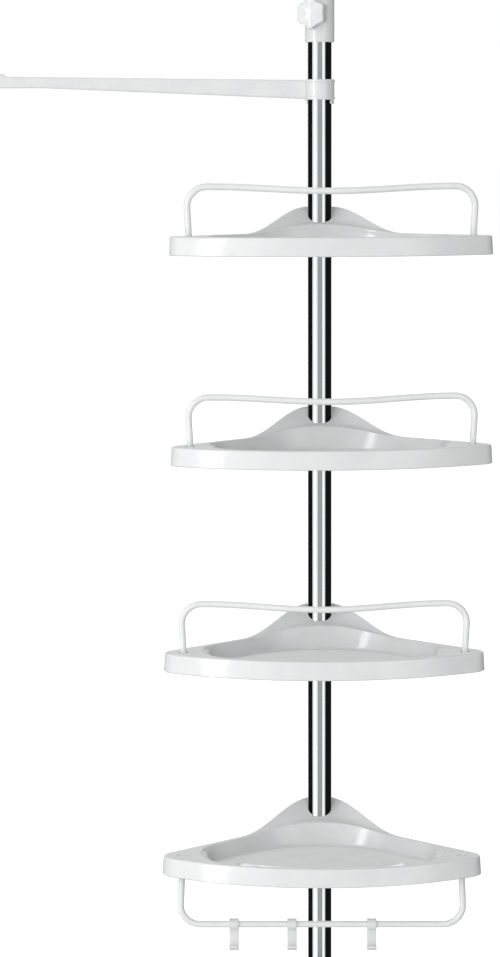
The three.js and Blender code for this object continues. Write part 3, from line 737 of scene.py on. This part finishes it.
def make_arm():
    """The bar's section is a soft rectangle whose top and bottom follow the arm's taper: the top rises
    gently to the tip and turns up in a nub there, the bottom rises until the last stretch is level."""
    low, _ = span("towel_arm")
    half = 10.5
    middle = low + half
    share = np.linspace(0, 1, 90)
    x = -(POLE_RADIUS + 1) + share * (POLE_RADIUS + 1 - ARM_LENGTH)
    tip = ARM_LENGTH + x
    top = np.interp(-x, [POLE_RADIUS, ARM_LENGTH], [half - 0.6, 14.3])
    rise = np.clip((11 - tip) / 5, 0, 1)
    top = top + 3.3 * rise ** 2 * (3 - 2 * rise)
    bottom = np.interp(-x, [POLE_RADIUS, 0.855 * ARM_LENGTH, ARM_LENGTH], [-half + 0.8, 2.5, 2.5])
    ends = np.clip(tip / 3, 0, 1)
    ease = np.sqrt(np.clip(1 - (1 - ends) ** 2, 0.02, 1))
    section = soft_rectangle(1, 1, 0.3, 48)
    height = (top - bottom)[:, None] * (0.75 + 0.25 * ease[:, None])
    grid = np.stack([
        x[:, None] + 0 * section[None, :, 0],
        section[None, :, 0] * ARM_THICKNESS * ease[:, None],
        ((top + bottom) / 2)[:, None] + section[None, :, 1] * height,
    ], -1)
    caps = [grid[i].mean(0) + 0 * grid[i] for i in (0, -1)]
    grid = np.concatenate([caps[0][None], grid, caps[1][None]])
    bar = new_piece("arm_bar", grid.reshape(-1, 3), grid_faces(len(grid), 48))
    sleeve = turned("swing_towel_arm", [
        (POLE_RADIUS + 0.4, -half), (ARM_RING_RADIUS - 0.5, -half), (ARM_RING_RADIUS, -half + 1),
        (ARM_RING_RADIUS, -half + 2.8), (ARM_RING_RADIUS - 0.6, -half + 3.3),
        (ARM_RING_RADIUS - 0.6, half - 3.3), (ARM_RING_RADIUS, half - 2.8),
        (ARM_RING_RADIUS, half - 1), (ARM_RING_RADIUS - 0.5, half), (POLE_RADIUS + 0.4, half),
    ], 0.4)
    arm = combined(sleeve, [bar], "UNION")
    fit(moved(arm, place=(0, 0, middle)), "arm", "white_plastic", "towel_arm")
    clip_low, clip_high = span("arm_clip")
    middle_radius = (POLE_RADIUS + 0.3 + CLIP_RADIUS) / 2
    opening, half_opening = np.radians(CLIP_TURN), np.radians(CLIP_OPENING / 2)
    path = arc(0, 0, middle_radius, opening + half_opening, opening + TURN - half_opening, 70)
    path = np.column_stack([path, np.full(70, (clip_low + clip_high) / 2)])
    path, scale = eased_ends(path, 1)
    section = soft_rectangle(clip_high - clip_low, CLIP_RADIUS - POLE_RADIUS - 0.3, 0.4)
    clip = swept("arm_stop_clip", path, section, (0, 0, 1), scale)
    fit(clip, "pole", "white_plastic", "arm_clip")


# ---------------------------------------------------------------- clamp and telescope

def make_clamp():
    """The collar at the pole's top, a turned shell with a cross hole for the screw, and along the clamp's
    axis the shoe's pin, the threaded rod and the knob."""
    bottom, top = span("lock_collar")
    knob_low, knob_high = span("clamp_knob")
    height = (knob_low + knob_high) / 2
    bore = INNER_RADIUS + 0.4
    shelf = span("pole_section_5")[1] + 0.3
    collar = turned("locking_collar", [
        (POLE_RADIUS + 0.3, bottom), (COLLAR_RADIUS - 0.6, bottom), (COLLAR_RADIUS, bottom + 1),
        (COLLAR_RADIUS, top - 2), (COLLAR_RADIUS - 2, top), (bore, top), (bore, shelf),
        (POLE_RADIUS + 0.3, shelf),
    ], 0.8)
    hole = turned("screw_cut", [(0, 0), (SCREW_RADIUS + 0.3, 0), (SCREW_RADIUS + 0.3, 40), (0, 40)], 0, 40)
    collar = combined(collar, [lay_clamp(hole, height)], "DIFFERENCE")
    fit(collar, "pole", "white_plastic", "lock_collar")

    start = INNER_RADIUS + 0.3
    shoe = turned("pressure_shoe_pin", [
        (0, start + 0.4), (2.8, start + 0.4), (2.8, start + 4.5), (0, start + 4.5),
    ], 0.5, 40)
    fit(lay_clamp(shoe, height), "shoe", "plain_steel", "pressure_shoe")
    screw = turned("clamp_screw_rod", thread_outline(start + 4.8, 25.8), 0.1, 40)
    fit(lay_clamp(screw, height), "knob", "plain_steel", "clamp_screw")
    fit(lay_clamp(knob_blank(), height), "knob", "white_plastic", "clamp_knob")


def thread_outline(start, end, pitch=1.25, depth=0.35):
    """A rod's outline with the crests and roots of its thread."""
    points = [(0, start)]
    turns = int((end - start) / pitch)
    for i in range(turns):
        low = start + i * pitch
        points += [(SCREW_RADIUS - depth, low + 0.1), (SCREW_RADIUS, low + pitch / 2)]
    return points + [(SCREW_RADIUS - depth, start + turns * pitch), (0, start + turns * pitch)]


def lay_clamp(piece, height):
    """Lays a piece made about Z along the clamp's axis."""
    return moved(piece, -KNOB_TURN, (0, 0, height), lay=True)


def knob_blank():
    """A hexagon with soft corners and slightly hollow sides: the distance to a flat side is a / cos(p),
    less 0.8 cos(3p)^2 for the hollow, blended with the corner's radius by a power mean. Its face is a
    shallow dome, lower by dome times the square of the share of the way out."""
    inner, outer = 16.6, 29.8
    angle = np.linspace(0, TURN, 180, endpoint=False)
    part = (angle - np.pi / 6) % (np.pi / 3) - np.pi / 6
    flat = KNOB_FLATS / 2 / np.cos(part) - 0.8 * np.cos(3 * part) ** 2
    corner = KNOB_FLATS / np.sqrt(3) - 0.7
    reach = (flat ** -40.0 + corner ** -40.0) ** (-1 / 40)
    edge, dome = 1.6, 1.8
    a = np.linspace(0, np.pi / 2, 6)
    rings = [(share, inner) for share in (0, 0.5, 0.9)]
    rings = [(reach * share, height) for share, height in rings]
    rings += [(reach - 0.8 * (1 - np.sin(t)), inner + 0.8 * (1 - np.cos(t))) for t in a]
    rings += [(reach - edge * (1 - np.cos(t)), outer - dome - edge * (1 - np.sin(t))) for t in a]
    for share in (0.8, 0.6, 0.4, 0.2, 0):
        rings.append(((reach - edge) * share, outer - dome * share ** 2))
    grid = [np.stack([r * np.cos(angle), r * np.sin(angle), h + 0 * angle], 1) for r, h in rings]
    return new_piece("hexagonal_clamp_knob", np.concatenate(grid), grid_faces(len(grid), 180))


def make_telescope():
    """The inner tube with the plug in its lower end, the ring that seats the spring, and the bush in its
    mouth. All are turned about the pole's axis."""
    bottom, top = span("inner_tube")
    tube = turned("inner_tube_polished", ring_outline(INNER_BORE, INNER_RADIUS, bottom, top), 0.35, 128)
    fit(tube, "inner_pole", "polished_tube", "inner_tube")
    plug_low, plug_high = span("inner_tube_plug")
    radius = INNER_BORE - 0.3
    plug = turned("inner_tube_end_plug", [
        (0, plug_low), (radius, plug_low), (radius, plug_high), (0, plug_high),
    ], 0.5)
    fit(plug, "inner_pole", "white_plastic", "inner_tube_plug")
    seat = turned("spring_seat_ring", ring_outline(3, radius, *span("spring_seat")), 0.5)
    fit(seat, "inner_pole", "white_plastic", "spring_seat")
    stem = 6.4
    mouth_low, mouth_high = span("tube_mouth_bush")
    bush = turned("tube_mouth_collar", [
        (stem + 0.3, mouth_low), (radius, mouth_low), (radius, top + 0.3), (INNER_RADIUS, top + 0.3),
        (INNER_RADIUS, mouth_high), (stem + 0.3, mouth_high),
    ], 0.5)
    fit(bush, "inner_pole", "white_plastic", "tube_mouth_bush")
    plunger_low, plunger_high = span("spring_plunger")
    plunger = turned("plunger_stem", [
        (0, plunger_low), (radius, plunger_low), (radius, mouth_low - 0.3), (stem, mouth_low - 0.3),
        (stem, plunger_high), (0, plunger_high),
    ], 0.5)
    fit(plunger, "ceiling_end", "white_plastic", "spring_plunger")
    make_spring()
    cup_low, cup_high = span("ceiling_cup")
    cup = turned("ceiling_cup_moulding", [
        (0, plunger_high + 0.3), (stem + 0.3, plunger_high + 0.3), (stem + 0.3, cup_low), (15.6, cup_low),
        (17, cup_low + 6), (28, cup_high - 5), (28, cup_high), (0, cup_high),
    ], 0.8)
    fit(cup, "ceiling_end", "white_plastic", "ceiling_cup")
    pad_low, pad_high = span("ceiling_pad")
    pad = turned("ceiling_pad_rubber", [(0, pad_low), (30, pad_low), (30, pad_high), (0, pad_high)], 1)
    fit(pad, "ceiling_end", "grey_rubber", "ceiling_pad")


def make_spring():
    """A helix (r cos a, r sin a, z0 + p a / 2 pi) of round wire."""
    low, high = span("tension_spring")
    wire = 1.3
    radius = INNER_BORE - wire - 0.3
    angle = np.linspace(0, 5 * TURN, 5 * 36)
    rise = low + wire + (high - low - 2 * wire) * angle / angle[-1]
    path = np.column_stack([radius * np.cos(angle), radius * np.sin(angle), rise])
    path, scale = eased_ends(path, wire * 0.8)
    spring = swept("tension_spring_coil", path, round_section(wire, 12), (0, 0, 1), scale)
    fit(spring, "inner_pole", "plain_steel", "tension_spring")


# ---------------------------------------------------------------- stage, light and camera

def make_stage():
    """A pale floor that runs out of view, lit so that it stays white. It takes shadows, but it doesn't
    light the object or show in reflections: the world's lower half and the soft boxes do."""
    mesh = bpy.data.meshes.new("floor")
    size = 30
    corners = [(-size, -size, 0), (size, -size, 0), (size, size, 0), (-size, size, 0)]
    mesh.from_pydata(corners, [], [(0, 1, 2, 3)])
    floor = bpy.data.objects.new("floor", mesh)
    bpy.context.scene.collection.objects.link(floor)
    material, tree, place = new_material("pale_floor")
    grain = add_node(tree, "ShaderNodeTexNoise", {"Scale": per_mm(400)}, {"Vector": place})
    colour = add_node(tree, "ShaderNodeValToRGB", {
        "stops": [(0.3, "#b8b8b8"), (0.7, "#bababa")],
    }, {"Fac": grain.outputs["Fac"]})
    surface = add_node(tree, "ShaderNodeBsdfPrincipled", {
        "Roughness": 1.0, "Specular IOR Level": 0.0,
        "Emission Color": (1, 1, 1, 1), "Emission Strength": FLOOR_GLOW,
    }, {"Base Color": colour.outputs["Color"]})
    add_node(tree, "ShaderNodeOutputMaterial", None, {"Surface": surface.outputs["BSDF"]})
    mesh.materials.append(material)
    floor.visible_glossy = floor.visible_diffuse = floor.visible_shadow = False


def make_world():
    """A white studio for the camera. Matt surfaces get its soft light, which falls off to the right and
    below. Mirror reflections see a white wall behind the object and a dark studio elsewhere."""
    world = bpy.data.worlds.new("studio")
    bpy.context.scene.world = world
    world.use_nodes = True
    tree = world.node_tree
    tree.nodes.clear()
    path = add_node(tree, "ShaderNodeLightPath")
    ways = add_node(tree, "ShaderNodeSeparateXYZ", None, {
        "Vector": add_node(tree, "ShaderNodeTexCoord").outputs["Generated"],
    })
    soft = add_node(tree, "ShaderNodeMapRange", {
        "From Min": -0.2, "From Max": 0.85, "To Min": SKY, "To Max": DARK_SIDE,
    }, {"Value": ways.outputs["X"]})
    lower = add_node(tree, "ShaderNodeMapRange", {
        "From Min": -0.3, "From Max": 0.3, "To Min": BELOW, "To Max": 1.0,
    }, {"Value": ways.outputs["Z"]})
    soft = add_node(tree, "ShaderNodeMath", {"operation": "MULTIPLY"}, {
        0: soft.outputs["Result"], 1: lower.outputs["Result"],
    })
    mirrored = add_node(tree, "ShaderNodeMapRange", {
        "From Min": 0.86, "From Max": 0.93, "To Min": DARK_STUDIO, "To Max": WALL_BEHIND,
    }, {"Value": ways.outputs["Y"]})
    unseen = add_node(tree, "ShaderNodeMix", None, {
        0: path.outputs["Is Glossy Ray"], 2: soft.outputs[0], 3: mirrored.outputs["Result"],
    })
    strength = add_node(tree, "ShaderNodeMath", {"operation": "MAXIMUM"}, {
        0: unseen.outputs[0], 1: path.outputs["Is Camera Ray"],
    })
    studio = add_node(tree, "ShaderNodeBackground", {"Color": (1, 1, 1, 1)}, {
        "Strength": strength.outputs[0],
    })
    add_node(tree, "ShaderNodeOutputWorld", None, {"Surface": studio.outputs["Background"]})


def add_soft_box(name, azimuth, spread, radiance, distance=2.4, top=2.4, bottom=-1.0, lit=(True, True)):
    """A soft box that stands at an azimuth from straight in front, in degrees, positive to the right, and
    spreads over that many degrees. lit says whether matt surfaces and mirrors see it."""
    width = 2 * distance * np.tan(np.radians(spread / 2))
    data = bpy.data.lights.new(name, "AREA")
    data.shape, data.size, data.size_y = "RECTANGLE", width, top - bottom
    data.energy = radiance * np.pi * width * (top - bottom)
    light = bpy.data.objects.new(name, data)
    a = np.radians(azimuth)
    light.location = (distance * np.sin(a), -distance * np.cos(a), (top + bottom) / 2)
    light.rotation_euler = (np.pi / 2, 0, a)
    light.visible_diffuse, light.visible_glossy = lit
    bpy.context.scene.collection.objects.link(light)


def make_lights():
    """A broad soft box on the left with a bright tube in it, a narrower one on the right that only shows
    in reflections, and a dim panel in front."""
    add_soft_box("left_soft_box", -47, 54, 0.56, lit=(True, False))
    add_soft_box("left_soft_box_shine", -47, 54, 1.0, distance=2.35, lit=(False, True))
    add_soft_box("left_bright_tube", -45, 9, 6.5, distance=2.2, lit=(False, True))
    add_soft_box("right_soft_box", 37, 24, 0.9, lit=(False, True))
    add_soft_box("right_soft_box_edge", 37, 42, 0.3, distance=2.5, lit=(False, True))
    add_soft_box("front_panel_shine", -1.5, 37, 0.4, distance=3.6, lit=(False, True))
    add_soft_box("front_panel", 5, 70, 0.75, distance=3.5, lit=(True, False))


def make_camera():
    """A long lens a little over three metres in front, that looks slightly down on the caddy."""
    data = bpy.data.cameras.new("camera")
    camera = bpy.data.objects.new("camera", data)
    bpy.context.scene.collection.objects.link(camera)
    bpy.context.scene.camera = camera
    data.sensor_width = 36
    data.lens = 113.44
    data.clip_start, data.clip_end = 0.05, 100
    camera.location = (0, -3.1655, 0.9524)
    camera.rotation_euler = (np.radians(90 - 6.16), np.radians(0.148), np.radians(1.316))


make_pole()
make_foot()
make_trays()
make_arm()
make_clamp()
make_telescope()
make_stage()
make_world()
make_lights()
make_camera()
bpy.context.scene.view_settings.view_transform = "Standard"
